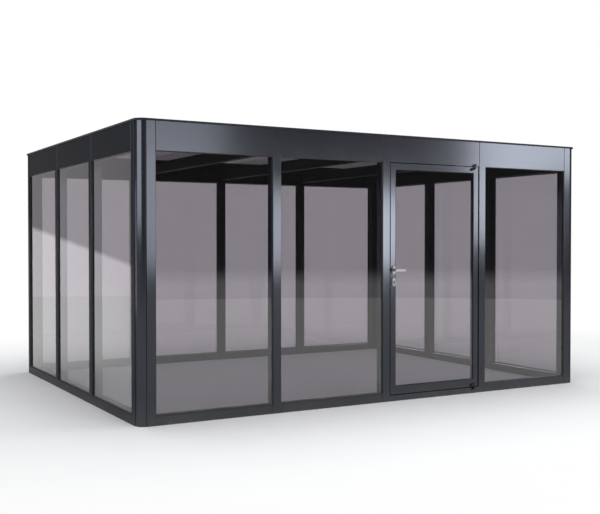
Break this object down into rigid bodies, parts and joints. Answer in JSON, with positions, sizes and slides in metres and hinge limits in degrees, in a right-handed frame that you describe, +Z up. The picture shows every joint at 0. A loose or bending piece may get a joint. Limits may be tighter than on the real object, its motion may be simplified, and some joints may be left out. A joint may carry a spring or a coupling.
{
  "type": "glass greenhouse",
  "caption": "Flat-roofed glazed garden room of tall panes between slim aluminium posts, with deep fascias, a parapet round a low glass roof, and one hinged glass door with a lever handle.",
  "frame": {"origin": "middle of the footprint at ground level", "axes": "+X to the right along the front wall seen from outside, +Y from the front wall (with the door) to the back wall, +Z up"},
  "size_m": [4.494, 3.468, 2.3],
  "materials": {
    "frame": "satin anthracite powder coat",
    "door_frame": "satin anthracite powder coat",
    "roof_frame": "satin anthracite powder coat",
    "hinge_black": "semi-gloss black",
    "handle_metal": "satin",
    "wall_glass": "smooth, smoke-grey tint",
    "door_glass": "smooth, smoke-grey tint",
    "roof_glass": "smooth, smoke-grey tint"
  },
  "bodies": {
    "frame": {"corner_post_front_left": "frame", "corner_post_front_right": "frame", "corner_post_back_left": "frame", "corner_post_back_right": "frame", "corner_caps": "frame", "front_posts": "frame", "back_posts": "frame", "left_posts": "frame", "right_posts": "frame", "front_eaves_beam": "frame", "back_eaves_beam": "frame", "left_eaves_beam": "frame", "right_eaves_beam": "frame", "front_fascia": "frame", "back_fascia": "frame", "left_fascia": "frame", "right_fascia": "frame", "front_cap": "frame", "back_cap": "frame", "left_cap": "frame", "right_cap": "frame", "front_sills": "frame", "back_sills": "frame", "left_sills": "frame", "right_sills": "frame", "front_panes": "wall_glass", "back_panes": "wall_glass", "left_panes": "wall_glass", "right_panes": "wall_glass", "rafters": "roof_frame", "roof_panes": "roof_glass", "roof_bars": "roof_frame", "door_threshold": "door_frame", "door_stops": "door_frame", "hinge_brackets": "hinge_black"},
    "door": {"door_stile_lock": "door_frame", "door_stile_hinge": "door_frame", "door_rail_top": "door_frame", "door_rail_bottom": "door_frame", "door_pane": "door_glass", "hinge_arms": "hinge_black", "rosettes": "handle_metal", "lock_cylinder": "handle_metal"},
    "lever": {"lever": "handle_metal"}
  },
  "joints": [
    {"name": "door_hinge", "type": "hinge", "parent": "frame", "child": "door", "pos_m": [0.966, -1.718, 1.0585], "axis": [0, 0, 1], "range_deg": [0, 90]},
    {"name": "lever_turn", "type": "hinge", "parent": "door", "child": "lever", "pos_m": [0.074, -1.706, 1.135], "axis": [0, 1, 0], "range_deg": [0, 40], "stiffness_Nm_per_rad": 1.5, "springref_deg": -34.38}
  ]
}
